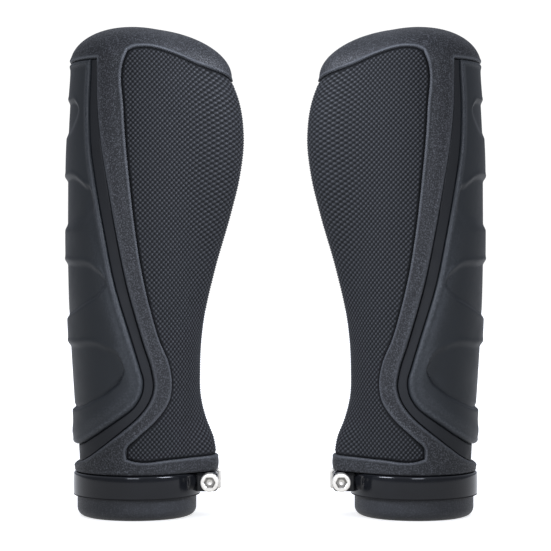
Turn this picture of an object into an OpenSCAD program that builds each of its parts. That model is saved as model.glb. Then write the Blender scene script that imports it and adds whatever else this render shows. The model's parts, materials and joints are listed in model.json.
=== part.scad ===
// A pair of ergonomic lock-on handlebar grips, stood on their inner ends side by side.
// Each grip is a hard sleeve under moulded rubber, held on the bar by a clamp ring.
// Frame: millimetres, +Z up the handlebar axis towards the outer end, -Y the palm face,
// origin midway between the two grips on the surface they stand on.

/* [Pair] */
// Distance between the two handlebar axes
pair_spacing = 75.6; // [72:0.2:90]

/* [Sleeve] */
// Radius of the handlebar bore
bar_r = 11.1; // [11:0.05:11.2]
// Depth of the handlebar bore
bore_depth = 125; // [120:1:126]
// Wall of the sleeve round the bar
sleeve_wall = 2; // [1.8:0.1:2]
// Thickness of the sleeve's closed outer end
end_wall = 2.3; // [1.5:0.1:2.5]
// Outer radius of the collar at the inner end
collar_r = 16.2; // [15.8:0.1:16.6]
// Height of the collar
collar_h = 5.7; // [5:0.1:5.8]
// Radius of the collar's rounded lower edge
collar_edge_r = 2.4; // [1:0.1:2.6]
// Width of the slots that let the sleeve close on the bar
slot_w = 2; // [1:0.1:2.5]
// Thickness of the web that stiffens the palm wing
web_t = 3; // [2:0.1:4]

/* [Rubber] */
// Height of the crown of the end cap
crown_z = 132.6; // [132:0.2:134]
// Height of the rounded part of the end cap
dome_h = 10.2; // [9:0.2:11]
// Fullness of the rounded end, 2 being an ellipse
dome_power = 2.4; // [2.2:0.1:3]
// Slope of the crown down towards the wing, on the axis
crown_slope = 0.025; // [0:0.005:0.06]
// Growth of that slope with distance from the axis
crown_bend = 0.0045; // [0.004:0.0005:0.006]
// Depth of the channel round the finger pad
channel_depth = 1.4; // [1.2:0.1:1.5]
// How far the palm pad sits below its frame
palm_sink = 0.25; // [0.1:0.05:0.4]
// How far the finger pad sits below the end cap
finger_sink = 0.2; // [0.1:0.05:0.3]
// Depth of the scallops in the finger pad
scallop_depth = 0.75; // [0.4:0.05:0.9]

/* [Clamp] */
// Radius of the clamp ring's outside
ring_r = 17.3; // [17:0.1:17.5]
// Height of the clamp ring
ring_h = 6.3; // [6:0.1:6.4]
// Radial thickness of the clamp ring
ring_wall = 3.1; // [2.9:0.1:3.2]
// Gap between the clamp ring's ears
ear_gap = 1.6; // [1:0.1:2]
// Thickness of each ear
ear_t = 3.7; // [3.4:0.1:4]
// Distance of the screw from the handlebar axis
screw_x = 20; // [19.6:0.1:20]
// Height of the screw above the middle of the clamp ring
screw_rise = 0.45; // [0:0.05:0.45]
// Radius of the screw's shank
screw_r = 1.46; // [1.45:0.01:1.47]
// Radius of the screw's head
head_r = 2.5; // [2.4:0.05:2.7]
// Height of the screw's head
head_h = 3; // [2.5:0.1:3]
// Width across flats of the screw's hexagon socket
socket_af = 2.5; // [2:0.1:2.5]
// Width across flats of the square nut
nut_af = 5.5; // [5:0.1:5.5]
// Thickness of the square nut
nut_t = 2; // [1.8:0.1:2.4]

/* [Hidden] */
$fn = 96;

rubber_gap = 0.05;
edge_gap = 0.12;
running_gap = 0.04;
sleeve_r = bar_r + sleeve_wall;
seat_r = ring_r - ring_wall - rubber_gap;
ring_z = collar_h + 0.1;
skirt_z = ring_z + ring_h + 0.15;
screw_z = ring_z + ring_h / 2 + screw_rise;
ear_end = screw_x + 2.2;
ear_half = ring_h / 2 - screw_rise;
ear_round = 1.2;
ear_face = ear_gap / 2 + ear_t;
nut_pocket = 1;
screw_end = ear_face + nut_t + 2;

// Radius of the finger side, radius of the palm side and reach of the wing, each by height.
finger_r = [
    [0, 16.9], [14, 16.9], [20, 17.2], [28, 17.7], [38, 18.35], [48, 18.95], [60, 19.45],
    [72, 19.7], [86, 19.7], [97, 19.6], [106, 19.2], [114, 18.75], [120, 18.35], [124, 18.3],
    [133, 17.8]
];
palm_r = [
    [0, 16.9], [14, 16.9], [22, 17], [35, 17.1], [50, 17.3], [75, 17.9], [100, 18.2], [133, 17.8]
];
wing_reach = [
    [0, 21.6], [11, 21.8], [14.5, 22.3], [17, 21.9], [21, 21.2], [26, 19.25], [32, 17.75],
    [40, 17.5], [47, 17.8], [53, 18.5], [67, 21.6], [82, 25.9], [92, 28.3], [103, 29.4],
    [113, 28.05], [119, 25.8], [126, 22.8]
];
wing_blend = 8;
wing_fullness = 2.4;
wing_thickness = 0.43;

// Edges on the surface. Angles run from the finger side, 0, over the palm face to the wing, 180.
// Edge of the finger pad: angle by height, then height by angle along its lower end.
pad_side = [
    [23.2, 56], [26.5, 74], [30, 90], [33, 97], [37, 99.5], [41, 96], [48, 89], [61.5, 76],
    [77, 66], [91, 57.5], [98.5, 53.5], [109.5, 50.5], [123, 50.5]
];
pad_foot = [[0, 19.5], [20, 19.8], [38, 20.8], [56, 23.2]];
// Outer edge of the channel round it, in the same form.
channel_side = [
    [20, 63], [23.7, 80], [27.2, 94], [31, 104.5], [35.5, 109.7], [39.5, 108], [47, 100],
    [61, 87], [76.5, 77], [90.5, 69.3], [99, 64.6], [110, 60], [123, 58]
];
channel_foot = [[0, 14.3], [27, 15.2], [46, 17], [63, 20]];
// Edge of the palm pad: angle by height, then height by angle along its foot and its head.
palm_side = [
    [16.6, 84.5], [19.5, 85], [22.6, 96], [26.7, 111.3], [31.3, 123.5], [36.9, 127],
    [41.7, 123.7], [48, 114], [55.3, 106.4], [65.3, 98.6], [75.3, 93.4], [90, 88],
    [109, 83], [121.5, 82.3], [124.6, 86]
];
palm_foot = [[84.5, 16.6], [90, 16.1], [126, 16.2], [180, 16.6]];
palm_head = [[86, 124.6], [90.5, 125.3], [99, 125.7], [127, 124.2], [160, 120.7], [180, 118]];
foot_split = 50;
foot_end = 63;
pad_corner_z = 23.2;
pad_top_z = 122.8;
channel_row_z = 22;
palm_row_z = 19.5;
palm_low_z = 16.6;
palm_high_z = 124.6;

// Heights of the rows of faces along the finger pad's edge, close together at each scallop.
row_z = [
    23.2, 26, 29, 32, 35, 38.5, 42, 46, 47.6, 57, 67.6, 69.2, 80, 90.2, 91.8, 101, 111, 112.6,
    118, 122.8
];
scallops = [[112, 15, 42], [91, 20, 62], [68.4, 19, 72], [46.8, 20, 86]];
n_finger = 5;
n_channel = 2;
n_band = 2;
n_palm = 8;
n_half = n_finger + n_channel + n_band + n_palm;
n_round = 2 * n_half;
skirt_rows = 2;
foot_row = skirt_rows;
pad_row = foot_row + 1;
head_row = pad_row + len(row_z) - 1;
cap_rows = 5;
n_rows = head_row + cap_rows;

function clamped(x, low, high) = max(low, min(high, x));
function mix(a, b, t) = a + (b - a) * t;
function sum(v, i = 0) = i == len(v) ? 0 : v[i] + sum(v, i + 1);

// Smooth curve through points [x, y] in order of x.
function span(p, x, i = 0) = i >= len(p) - 2 || x < p[i + 1][0] ? i : span(p, x, i + 1);
function chord(p, i) = (p[i + 1][1] - p[i][1]) / (p[i + 1][0] - p[i][0]);
function slope(p, i) =
    i == 0 ? chord(p, 0)
    : i == len(p) - 1 ? chord(p, i - 1)
    : let (h0 = p[i][0] - p[i - 1][0], h1 = p[i + 1][0] - p[i][0])
        (chord(p, i - 1) * h1 + chord(p, i) * h0) / (h0 + h1);
function along(p, x_any) =
    let (
        x = clamped(x_any, p[0][0], p[len(p) - 1][0]),
        i = span(p, x),
        h = p[i + 1][0] - p[i][0],
        t = (x - p[i][0]) / h,
        u = 1 - t
    )
    p[i][1] * (1 + 2 * t) * u * u + h * slope(p, i) * t * u * u
    + p[i + 1][1] * t * t * (3 - 2 * t) - h * slope(p, i + 1) * t * t * u;

// Radius of the outside at an angle and a height: a round grip blended with a flattened wing.
function outer_radius(a, z) =
    let (
        c = -cos(a),
        s = abs(sin(a)),
        k = (1 - c) / 2,
        round_r = mix(along(palm_r, z), along(finger_r, z), k * k * (3 - 2 * k)),
        reach = along(wing_reach, z),
        lobe = pow(
            max(pow(reach, wing_blend) - pow(along(palm_r, z), wing_blend), 1), 1 / wing_blend
        ),
        lobe_r = c <= 0 ? 0 : 1 / pow(
            pow(c / lobe, wing_fullness) + pow(s / (wing_thickness * lobe), wing_fullness),
            1 / wing_fullness
        )
    )
    pow(pow(round_r, wing_blend) + pow(lobe_r, wing_blend), 1 / wing_blend);

// Height of the end cap's top surface, which slopes down towards the wing.
function crown(x) = crown_z - crown_slope * x - crown_bend * x * x;
function shoulder(a) =
    let (
        z0 = crown(-outer_radius(a, 120) * cos(a)) - dome_h,
        z1 = crown(-outer_radius(a, z0) * cos(a)) - dome_h
    )
    crown(-outer_radius(a, z1) * cos(a)) - dome_h;

// Point of the surface at [angle, height], a depth below it.
function skin_point(q, depth) =
    let (
        a = q[0],
        z_edge = shoulder(a),
        r = outer_radius(a, min(q[1], z_edge)),
        rise = clamped((q[1] - z_edge) / dome_h, 0, 1),
        shrink = pow(max(1 - pow(rise, dome_power), 0), 1 / dome_power),
        x = -(r - depth) * shrink * cos(a),
        y = -(r - depth) * shrink * sin(a),
        z = rise > 0 ? crown(-r * shrink * cos(a)) - dome_h * (1 - rise) - depth * rise : q[1]
    )
    [x, y, z];

// Depth of the finger pad's scallops: each starts at a step and fades out downwards.
function scallop(a, z) =
    scallop_depth * sum([
        for (s = scallops)
            let (down = s[0] - z, side = a / s[2])
            down <= 0 || down >= s[1] || abs(side) >= 1 ? 0 : (1 - down / s[1]) * (1 - side * side)
    ]);

// Grid of [angle, height] over half of a grip, by row from the skirt to the crown and by column
// from the finger side to the wing. Rows and columns follow the edges of the pads.
function foot_q(h) =
    h <= n_finger ? let (a = foot_split * h / n_finger) [a, along(channel_foot, a)]
    : h <= n_finger + n_channel
        ? let (a = mix(foot_split, foot_end, (h - n_finger) / n_channel)) [a, along(channel_foot, a)]
    : h <= n_finger + n_channel + n_band
        ? let (t = (h - n_finger - n_channel) / n_band)
            [mix(foot_end, palm_foot[0][0], t), mix(along(channel_foot, foot_end), palm_low_z, t)]
    : let (a = mix(palm_foot[0][0], 180, (h - n_half + n_palm) / n_palm)) [a, along(palm_foot, a)];

function window_q(i, h) =
    let (
        z1 = row_z[i - pad_row],
        t = (z1 - pad_corner_z) / (pad_top_z - pad_corner_z),
        z2 = mix(channel_row_z, pad_top_z, t),
        z3 = mix(palm_row_z, palm_high_z, t),
        a1 = along(pad_side, z1),
        a2 = along(channel_side, z2),
        a3 = along(palm_side, z3)
    )
    h <= n_finger
        ? let (s = h / n_finger)
            [a1 * s, z1 - (pad_corner_z - along(pad_foot, pad_side[0][1] * s)) * pow(1 - t, 6)]
    : h <= n_finger + n_channel
        ? let (s = (h - n_finger) / n_channel) [mix(a1, a2, s), mix(z1, z2, s)]
    : h <= n_finger + n_channel + n_band
        ? let (s = (h - n_finger - n_channel) / n_band) [mix(a2, a3, s), mix(z2, z3, s)]
    : let (
        s = (h - n_half + n_palm) / n_palm,
        a = mix(a3, 180, s),
        u = (z3 - palm_low_z) / (palm_high_z - palm_low_z),
        skew = z3 - mix(along(palm_foot, a3), along(palm_head, a3), u)
    )
        [a, mix(along(palm_foot, a), along(palm_head, a), u) + skew * (1 - s)];

function cap_q(i, h) =
    let (
        q = window_q(head_row, h),
        z_edge = shoulder(q[0]),
        start = q[1] <= z_edge
            ? (q[1] - z_edge) / dome_h
            : asin(pow((q[1] - z_edge) / dome_h, dome_power / 2)) / 90,
        turn = mix(start, 1, (i - head_row) / cap_rows)
    )
    [q[0], z_edge + dome_h * (turn <= 0 ? turn : pow(sin(90 * turn), 2 / dome_power))];

function half_q(i, h) =
    i < foot_row ? let (q = foot_q(h)) [q[0], mix(skirt_z, q[1], i / skirt_rows)]
    : i == foot_row ? foot_q(h)
    : i <= head_row ? window_q(i, h)
    : cap_q(i, h);
half_grid = [for (i = [0:n_rows]) [for (h = [0:n_half]) half_q(i, h)]];

// Point of the whole grid; each border of a pad is pulled in by edge_gap where the pad asks.
function half_of(j) = j <= n_half ? j : n_round - j;
function grid_q(i, j, trim_row, trim_col) =
    let (
        h = half_of(j),
        q = half_grid[i][h],
        gap_a = edge_gap * 180 / (PI * sleeve_r * 1.3),
        a = q[0] + (h == abs(trim_col) ? sign(trim_col) * gap_a : 0),
        v = q[1] + (i == trim_row ? edge_gap : i == head_row && trim_row > 0 ? -edge_gap : 0)
    )
    [j <= n_half ? a : -a, v];

function in_band(c) = c >= n_finger + n_channel && c < n_finger + n_channel + n_band;
function in_node(part, i, j) =
    let (c = j < n_half ? j : n_round - 1 - j)
    i < 0 || i >= n_rows ? false
    : part == "frame" ? i < foot_row || i >= head_row || in_band(c)
    : part == "finger" ? i >= pad_row && i < head_row && c < n_finger
    : i >= foot_row && i < head_row && c >= n_half - n_palm;

// A closed skin over the cells of one part, from one depth to another.
module skin(part, top, bottom, trim_row = 0, trim_col = 0.5, scalloped = false) {
    stride = n_round;
    inner = (n_rows + 1) * stride;
    grid = [
        for (i = [0:n_rows]) for (j = [0:n_round - 1]) grid_q(i, j, trim_row, trim_col)
    ];
    points = concat(
        [for (q = grid) skin_point(q, top + (scalloped ? scallop(q[0], q[1]) : 0))],
        [for (q = grid) skin_point(q, bottom)]
    );
    function at(i, j) = i == n_rows ? i * stride : i * stride + (j + stride) % stride;
    function wall(a, b) = [[a, b, b + inner], [a, b + inner, a + inner]];
    faces = [
        for (i = [0:n_rows - 1]) for (j = [0:n_round - 1]) if (in_node(part, i, j))
            let (a = at(i, j), b = at(i, j + 1), c = at(i + 1, j + 1), d = at(i + 1, j))
            for (f = concat(
                i == n_rows - 1 ? [[a, c, b]] : [[a, c, b], [a, d, c]],
                i == n_rows - 1 ? [[a + inner, b + inner, c + inner]]
                    : [[a + inner, b + inner, c + inner], [a + inner, c + inner, d + inner]],
                in_node(part, i - 1, j) ? [] : wall(a, b),
                i == n_rows - 1 || in_node(part, i + 1, j) ? [] : wall(c, d),
                in_node(part, i, (j + 1) % stride) ? [] : wall(b, c),
                in_node(part, i, (j + stride - 1) % stride) ? [] : wall(d, a)
            )) f
    ];
    polyhedron(points, faces, convexity = 8);
}

// Everything inside one depth of the surface, closed by a flat foot.
module filled_skin(depth) {
    stride = n_round;
    points = [
        for (i = [0:n_rows]) for (j = [0:n_round - 1])
            skin_point(grid_q(i, j, 0, 0.5), depth)
    ];
    function at(i, j) = i == n_rows ? i * stride : i * stride + j % stride;
    faces = concat(
        [
            for (i = [0:n_rows - 1]) for (j = [0:n_round - 1])
                let (a = at(i, j), b = at(i, j + 1), c = at(i + 1, j + 1), d = at(i + 1, j))
                for (f = i == n_rows - 1 ? [[a, c, b]] : [[a, c, b], [a, d, c]]) f
        ],
        [[for (j = [0:stride - 1]) j]]
    );
    polyhedron(points, faces, convexity = 8);
}

// Outline of the web inside the palm wing, in X and Z.
module web_outline(grow) {
    polygon([
        [sleeve_r - 1, 62 - grow], [21 + grow, 84], [22.5 + grow, 100], [21 + grow, 112 + grow],
        [sleeve_r - 1, 112 + grow]
    ]);
}

module web(grow = 0) {
    translate([0, web_t / 2 + grow, 0])
        rotate([90, 0, 0])
            linear_extrude(web_t + 2 * grow)
                web_outline(grow);
}

module ring_section(r_in, r_out, z0, z1, edge) {
    rotate_extrude()
        polygon([
            [r_in, z0], [r_out - edge, z0], [r_out, z0 + edge], [r_out, z1 - edge],
            [r_out - edge, z1], [r_in, z1]
        ]);
}

module core_sleeve() {
    color([0.13, 0.13, 0.14])
        difference() {
            union() {
                cylinder(r = sleeve_r, h = bore_depth + end_wall);
                cylinder(r = seat_r, h = skirt_z + 0.6);
                rotate_extrude() {
                    square([collar_r - collar_edge_r, collar_h]);
                    translate([0, collar_edge_r])
                        square([collar_r, collar_h - collar_edge_r]);
                    translate([collar_r - collar_edge_r, collar_edge_r])
                        circle(r = collar_edge_r);
                }
                web();
            }
            translate([0, 0, -1])
                cylinder(r = bar_r, h = bore_depth + 1);
            for (turn = [50, 90, 130])
                rotate([0, 0, turn])
                    translate([bar_r / 2, -slot_w / 2, -1])
                        cube([collar_r, slot_w, 19]);
        }
}

module under_layer() {
    color([0.1, 0.1, 0.11])
        difference() {
            filled_skin(channel_depth + rubber_gap);
            cylinder(r = sleeve_r + rubber_gap, h = bore_depth + end_wall + rubber_gap);
            cylinder(r = seat_r + rubber_gap, h = skirt_z + 0.6 + rubber_gap);
            web(0.1);
        }
}

module frame_shell() {
    color([0.2, 0.2, 0.21])
        skin("frame", 0, channel_depth);
}

module palm_pad() {
    color([0.07, 0.07, 0.08])
        skin("palm", palm_sink, channel_depth, foot_row, n_half - n_palm);
}

module finger_pad() {
    color([0.14, 0.15, 0.16])
        skin("finger", finger_sink, channel_depth, pad_row, -n_finger, scalloped = true);
}

// One ear of the clamp ring, from y0 to y1, with two rounded corners and its clearance hole.
module ear(y0, y1) {
    x0 = seat_r + 1;
    x1 = ear_end - ear_round;
    translate([0, y1, 0])
        rotate([90, 0, 0])
            linear_extrude(y1 - y0)
                difference() {
                    union() {
                        translate([x0, screw_z - ear_half])
                            square([x1 - x0, 2 * ear_half]);
                        translate([x0, screw_z - ear_half + ear_round])
                            square([ear_end - x0, 2 * (ear_half - ear_round)]);
                        translate([x1, screw_z - ear_half + ear_round])
                            circle(r = ear_round);
                        translate([x1, screw_z + ear_half - ear_round])
                            circle(r = ear_round);
                    }
                    translate([screw_x, screw_z])
                        circle(r = screw_r + 0.15);
                }
}

module clamp_ring() {
    color([0.05, 0.05, 0.055])
        difference() {
            union() {
                ring_section(seat_r, ring_r, ring_z, ring_z + ring_h, 0.5);
                ear(-ear_face, -ear_gap / 2);
                ear(ear_gap / 2, ear_face);
            }
            translate([0, 0, ring_z - 1])
                cylinder(r = seat_r + rubber_gap, h = ring_h + 2);
            translate([0, -ear_gap / 2, ring_z - 1])
                cube([30, ear_gap, ring_h + 2]);
            translate([screw_x - nut_af / 2 - 0.1, ear_face - nut_pocket, screw_z - nut_af / 2 - 0.1])
                cube([nut_af + 4, nut_pocket + 1, nut_af + 0.2]);
        }
}

module clamp_screw() {
    color([0.82, 0.82, 0.8])
        translate([screw_x, -ear_face - rubber_gap, screw_z])
            rotate([-90, 0, 0])
                difference() {
                    union() {
                        cylinder(r = screw_r, h = ear_face + screw_end);
                        translate([0, 0, -head_h])
                            ring_section(0, head_r, 0, head_h, 0.3);
                    }
                    translate([0, 0, -head_h - 1])
                        cylinder(r = socket_af / sqrt(3), h = 2.6, $fn = 6);
                }
}

module clamp_nut() {
    color([0.78, 0.78, 0.77])
        translate([screw_x, ear_face - nut_pocket + rubber_gap, screw_z])
            difference() {
                translate([-nut_af / 2, 0, -nut_af / 2])
                    cube([nut_af, nut_t, nut_af]);
                rotate([-90, 0, 0])
                    translate([0, 0, -1])
                        cylinder(r = screw_r + running_gap, h = nut_t + 2);
            }
}

module right_side() {
    translate([-pair_spacing / 2, 0, 0])
        children();
}

module left_side() {
    translate([pair_spacing / 2, 0, 0])
        mirror([1, 0, 0])
            children();
}

right_side() core_sleeve();  // right_core_sleeve
right_side() under_layer();  // right_under_layer
right_side() frame_shell();  // right_frame_shell
right_side() palm_pad();  // right_palm_pad
right_side() finger_pad();  // right_finger_pad
right_side() clamp_ring();  // right_clamp_ring
right_side() clamp_screw();  // right_clamp_screw
right_side() clamp_nut();  // right_clamp_nut
left_side() core_sleeve();  // left_core_sleeve
left_side() under_layer();  // left_under_layer
left_side() frame_shell();  // left_frame_shell
left_side() palm_pad();  // left_palm_pad
left_side() finger_pad();  // left_finger_pad
left_side() clamp_ring();  // left_clamp_ring
left_side() clamp_screw();  // left_clamp_screw
left_side() clamp_nut();  // left_clamp_nut
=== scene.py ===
"""Looks of a pair of ergonomic lock-on handlebar grips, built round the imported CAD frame.

Shapes are worked out in millimetres on one grip's own axis, with the wing towards +X and the
palm face towards -Y, and each mesh is then written in metres on the right or the left axis.
"""

import json
import math

import bpy
import numpy as np
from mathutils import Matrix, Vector
from mathutils.geometry import delaunay_2d_cdt
from mathutils.kdtree import KDTree

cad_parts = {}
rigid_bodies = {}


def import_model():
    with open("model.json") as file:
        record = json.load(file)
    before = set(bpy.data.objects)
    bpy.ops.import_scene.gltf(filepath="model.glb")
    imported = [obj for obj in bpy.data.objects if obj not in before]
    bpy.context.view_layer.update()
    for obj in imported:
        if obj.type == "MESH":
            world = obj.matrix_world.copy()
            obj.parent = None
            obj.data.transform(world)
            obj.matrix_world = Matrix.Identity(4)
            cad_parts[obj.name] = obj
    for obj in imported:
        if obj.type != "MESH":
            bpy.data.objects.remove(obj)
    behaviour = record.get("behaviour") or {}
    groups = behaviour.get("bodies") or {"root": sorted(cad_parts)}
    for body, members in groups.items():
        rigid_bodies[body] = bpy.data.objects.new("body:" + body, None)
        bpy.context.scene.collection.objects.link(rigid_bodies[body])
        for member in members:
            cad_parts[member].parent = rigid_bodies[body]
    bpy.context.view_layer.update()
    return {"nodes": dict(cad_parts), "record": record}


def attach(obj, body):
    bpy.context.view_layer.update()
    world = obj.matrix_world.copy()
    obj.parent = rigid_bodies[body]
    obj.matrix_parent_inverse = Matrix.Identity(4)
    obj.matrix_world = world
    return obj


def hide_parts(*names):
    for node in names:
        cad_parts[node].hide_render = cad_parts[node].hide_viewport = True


MM = 0.001

# Radii of the finger side and of the palm side, and reach of the wing, by height.
FINGER_R = [
    (0, 16.9), (14, 16.9), (20, 17.2), (28, 17.7), (38, 18.35), (48, 18.95), (60, 19.45),
    (72, 19.7), (86, 19.7), (97, 19.6), (106, 19.2), (114, 18.75), (120, 18.35), (124, 18.3),
    (133, 17.8),
]
PALM_R = [
    (0, 16.9), (14, 16.9), (22, 17), (35, 17.1), (50, 17.3), (75, 17.9), (100, 18.2), (133, 17.8),
]
WING_REACH = [
    (0, 21.6), (11, 21.8), (14.5, 22.3), (17, 21.9), (21, 21.2), (26, 19.25), (32, 17.75),
    (40, 17.5), (47, 17.8), (53, 18.5), (67, 21.6), (82, 25.9), (92, 28.3), (103, 29.4),
    (113, 28.05), (119, 25.8), (126, 22.8),
]
WING_BLEND = 8
WING_FULLNESS = 2.4
WING_THICKNESS = 0.43

# The end cap.
CROWN_Z = 132.6
CROWN_SLOPE = 0.025
CROWN_BEND = 0.0045
DOME_H = 10.2
DOME_POWER = 2.4

# Edges on the surface: angle by height up each side, then height by angle along an end.
# Angles run from the finger side, 0, over the palm face to the wing, 180.
PAD_SIDE = [
    (23.2, 56), (26.5, 74), (30, 90), (33, 97), (37, 99.5), (41, 96), (48, 89), (61.5, 76),
    (77, 66), (91, 57.5), (98.5, 53.5), (109.5, 50.5), (123, 50.5),
]
PAD_FOOT = [(0, 19.5), (20, 19.8), (38, 20.8), (56, 23.2)]
CHANNEL_SIDE = [
    (20, 63), (23.7, 80), (27.2, 94), (31, 104.5), (35.5, 109.7), (39.5, 108), (47, 100),
    (61, 87), (76.5, 77), (90.5, 69.3), (99, 64.6), (110, 60), (123, 58),
]
CHANNEL_FOOT = [(0, 14.3), (27, 15.2), (46, 17), (63, 20)]
PALM_SIDE = [
    (16.6, 84.5), (19.5, 85), (22.6, 96), (26.7, 111.3), (31.3, 123.5), (36.9, 127),
    (41.7, 123.7), (48, 114), (55.3, 106.4), (65.3, 98.6), (75.3, 93.4), (90, 88),
    (109, 83), (121.5, 82.3), (124.6, 86),
]
PALM_FOOT = [(84.5, 16.6), (90, 16.1), (126, 16.2), (180, 16.6)]
PALM_HEAD = [(86, 124.6), (90.5, 125.3), (99, 125.7), (127, 124.2), (160, 120.7), (180, 118)]
FOOT_SPLIT = 50
FOOT_END = 63
PALM_START = 84.5
PAD_CORNER_Z = 23.2
PAD_TOP_Z = 122.8
CHANNEL_ROW_Z = 22
PALM_ROW_Z = 19.5
PALM_LOW_Z = 16.6
PALM_HIGH_Z = 124.6
PAD_HEAD = [(0, PAD_TOP_Z), (25, PAD_TOP_Z), (50.5, PAD_TOP_Z)]
CHANNEL_HEAD = [(0, PAD_TOP_Z), (30, PAD_TOP_Z), (58, PAD_TOP_Z)]

# Depths below the surface.
CHANNEL_DEPTH = 1.4
STRIP_RISE = 0.85
PALM_SINK = 0.25
FINGER_SINK = 0.2
SKIRT_Z = 12.25
SLEEVE_R = 13.1
SEAT_R = 14.15
SEAT_TOP_Z = 12.85
UNDER_TOP_Z = 127.4

# Knurl of the palm pad: raised dots in a diagonal lattice, in level rows.
KNURL_ROW = 1.36
KNURL_TURN = math.radians(3.72)
KNURL_CENTRE_X = -5
KNURL_HEIGHT = 0.36
KNURL_STEPS = 6
# Millimetres for each radian of turn, where the palm pad is laid out flat.
PLAN_SCALE = 20

# Scallops of the finger pad: the upper and the lower edge, height by angle, the depth, and how
# much deeper a groove runs along the lower edge.
SCALLOPS = [
    (
        [(0, 112.6), (16, 112.3), (34, 111.4), (41, 109)],
        [(0, 102.6), (30, 104.5), (41, 109)],
        0.55, 0.0,
    ),
    (
        [(0, 91.6), (40, 90.9), (48, 89.3), (57, 87), (60.5, 83)],
        [(0, 78), (30, 78), (52, 79.6), (60.5, 83)],
        0.75, 0.0,
    ),
    (
        [(0, 69.2), (30, 68.8), (58, 67.3), (66, 65.1), (69.5, 62.8)],
        [(0, 53.6), (25, 54.8), (46, 57.4), (64, 60.7), (69.5, 62.8)],
        0.7, 0.12,
    ),
    (
        [(0, 47), (30, 46.9), (65, 46.4), (80, 43.2), (84, 40.4)],
        [(0, 29.2), (30, 29.6), (50, 31.5), (71, 34.9), (81, 38.2), (84, 40.4)],
        0.75, 0.5,
    ),
]

# Width of a scallop at which it reaches its full depth.
TIP_FADE = 5

# The clamp.
RING_R = 17.3
RING_Z = 5.8
RING_H = 6.3
EAR_GAP = 1.6
EAR_T = 3.7
SCREW_X = 20
SCREW_R = 1.46
SCREW_RISE = 0.45
SCREW_Z = RING_Z + RING_H / 2 + SCREW_RISE
EAR_END = SCREW_X + 2.2
EAR_HALF = RING_H / 2 - SCREW_RISE
EAR_ROUND = 1.2
EAR_FACE = EAR_GAP / 2 + EAR_T
HEAD_R = 2.5
HEAD_H = 3
SOCKET_AF = 2.5
SOCKET_DEPTH = 1.6
NUT_AF = 5.5
NUT_T = 2
NUT_Y = EAR_FACE - 0.95
SCREW_END = 8.45
THREAD_PITCH = 0.5

# Each grip's own softboxes: place from the foot of its axis, x towards the other grip, and watts.
GRIP_LIGHTS = {"front": ((-0.02, -0.33, 0.18), 0.9), "inner": ((0.25, -0.13, 0.22), 2.1)}
LIGHT_SIZE = 0.13
# Light of the surroundings at the horizon and overhead, and the floor's own glow.
HORIZON = 0.38
ZENITH = 1.2
SKY_TINT = (0.93, 0.98, 1.12)
BACKDROP = 1.06
FLOOR_GLOW = 0.7
FLOOR_SIZE = 3

# The camera, in metres: its distance and height, and the width it sees on the grips' axes.
CAMERA_DISTANCE = 0.5
CAMERA_HEIGHT = 0.0652
VIEW_WIDTH = 0.1505
SENSOR_MM = 36


def along(points, x):
    """The smooth curve through points (x, y), at each x."""
    xs, ys = np.array(points, float).T
    h = np.diff(xs)
    chord = np.diff(ys) / h
    slope = np.empty(len(xs))
    slope[0], slope[-1] = chord[0], chord[-1]
    slope[1:-1] = (chord[:-1] * h[1:] + chord[1:] * h[:-1]) / (h[:-1] + h[1:])
    x = np.clip(np.asarray(x, float), xs[0], xs[-1])
    i = np.clip(np.searchsorted(xs, x, side="right") - 1, 0, len(xs) - 2)
    t = (x - xs[i]) / h[i]
    u = 1 - t
    return (
        ys[i] * (1 + 2 * t) * u * u + h[i] * slope[i] * t * u * u
        + ys[i + 1] * t * t * (3 - 2 * t) - h[i] * slope[i + 1] * t * t * u
    )


def mix(a, b, t):
    """The value a share t of the way from a to b."""
    return a + (b - a) * t


def smooth(low, high, x):
    """A smooth step from 0 at low to 1 at high."""
    t = np.clip((x - low) / (high - low), 0, 1)
    return t * t * (3 - 2 * t)


def radius(a, z):
    """Radius of the outside: a round grip blended with a flattened wing."""
    c = -np.cos(np.radians(a))
    s = np.abs(np.sin(np.radians(a)))
    k = (1 - c) / 2
    palm = along(PALM_R, z)
    round_r = mix(palm, along(FINGER_R, z), k * k * (3 - 2 * k))
    lobe = np.maximum(along(WING_REACH, z) ** WING_BLEND - palm**WING_BLEND, 1) ** (1 / WING_BLEND)
    f = WING_FULLNESS
    lobe_r = 1 / ((np.maximum(c, 1e-6) / lobe) ** f + (s / (WING_THICKNESS * lobe)) ** f) ** (1 / f)
    lobe_r = np.where(c > 0, lobe_r, 0)
    return (round_r**WING_BLEND + lobe_r**WING_BLEND) ** (1 / WING_BLEND)


def crown(x):
    """Height of the top of the end cap at x."""
    return CROWN_Z - CROWN_SLOPE * x - CROWN_BEND * x * x


def shoulder(a):
    """Height at which the side of the grip turns into the cap."""
    z = 120.0
    for _ in range(3):
        z = crown(-radius(a, z) * np.cos(np.radians(a))) - DOME_H
    return z


def surface(a, v, depth=0.0):
    """Points of the surface at angle a and height v, some depth below it."""
    a, v = np.broadcast_arrays(np.asarray(a, float), np.asarray(v, float))
    edge = shoulder(np.abs(a))
    r = radius(np.abs(a), np.minimum(v, edge))
    rise = np.clip((v - edge) / DOME_H, 0, 1)
    shrink = np.maximum(1 - rise**DOME_POWER, 0) ** (1 / DOME_POWER)
    c, s = np.cos(np.radians(a)), np.sin(np.radians(a))
    x = -(r - depth) * shrink * c
    y = -(r - depth) * shrink * s
    top = crown(-r * shrink * c) - DOME_H * (1 - rise) - depth * rise
    return np.stack([x, y, np.where(rise > 0, top, v)], -1)


def graded(n, share=1.0):
    """n + 1 values from 0 to 1 that lie closer together near both ends."""
    t = np.linspace(0, 1, n + 1)
    return mix(t, (1 - np.cos(np.pi * t)) / 2, share)


def graded_end(n, share=1.0):
    """n + 1 values from 0 to 1 that lie closer together near 1."""
    t = np.linspace(0, 1, n + 1)
    return mix(t, np.sin(np.pi * t / 2), share)


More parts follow.
